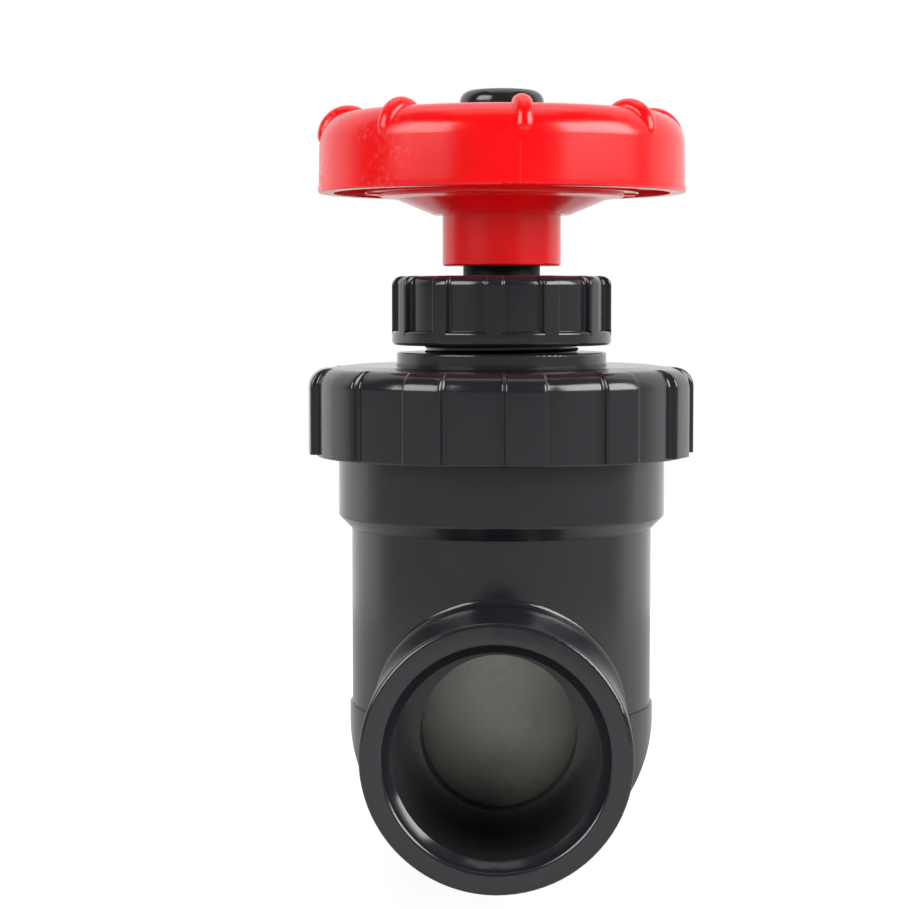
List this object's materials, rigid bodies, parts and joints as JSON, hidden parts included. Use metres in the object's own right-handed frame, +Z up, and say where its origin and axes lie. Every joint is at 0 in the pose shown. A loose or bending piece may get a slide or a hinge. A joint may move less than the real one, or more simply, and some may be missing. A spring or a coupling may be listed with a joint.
{
  "type": "handwheel gate valve",
  "caption": "Plastic in-line gate valve with solvent-weld pipe sockets, a union-nut bonnet, a gland-packed stem that doesn't rise and a ribbed red handwheel.",
  "frame": {"origin": "on the stem's axis, at the height of the body's lowest point", "axes": "+Z up along the stem to the handwheel, +Y along the bore from the front socket to the rear socket, +X to the right seen from the front"},
  "size_m": [0.0654, 0.0926, 0.1305],
  "materials": {
    "grey_moulding": "satin moulded",
    "grey_cap": "satin moulded",
    "stem_plastic": "smooth turned",
    "red_wheel": "glossy moulded",
    "gate_plastic": "smooth moulded",
    "black_rubber": "matte",
    "nut_brass": "machined",
    "spring_steel": "bright",
    "washer_plastic": "smooth",
    "packing_fibre": "matte",
    "screw_steel": "bright"
  },
  "bodies": {
    "valve": {"valve_body": "grey_moulding", "bonnet": "grey_moulding", "bonnet_o_ring": "black_rubber", "bonnet_nut": "grey_moulding", "thrust_washer_lower": "washer_plastic", "thrust_washer_upper": "washer_plastic", "stem_retainer_ring": "spring_steel", "packing_ring_1": "packing_fibre", "packing_ring_2": "packing_fibre", "packing_ring_3": "packing_fibre", "gland_follower": "washer_plastic", "gland_nut": "grey_moulding"},
    "spindle": {"stem": "stem_plastic", "handwheel": "red_wheel", "wheel_washer": "screw_steel", "wheel_screw": "screw_steel", "wheel_cap": "grey_cap"},
    "gate": {"gate_plug": "gate_plastic", "gate_seal_front": "black_rubber", "gate_seal_rear": "black_rubber", "gate_nut": "nut_brass", "gate_nut_circlip": "spring_steel"}
  },
  "joints": [
    {"name": "handwheel_turn", "type": "hinge", "parent": "valve", "child": "spindle", "pos_m": [0, 0, 0.1], "axis": [0, 0, 1], "range_deg": [0, 2997]},
    {"name": "gate_lift", "type": "slide", "parent": "valve", "child": "gate", "axis": [0, 0, 1], "range_m": [0, 0.0333]}
  ],
  "couplings": [
    {"joint": "gate_lift", "follows": "handwheel_turn", "m_per_rad": 0.00063661}
  ]
}
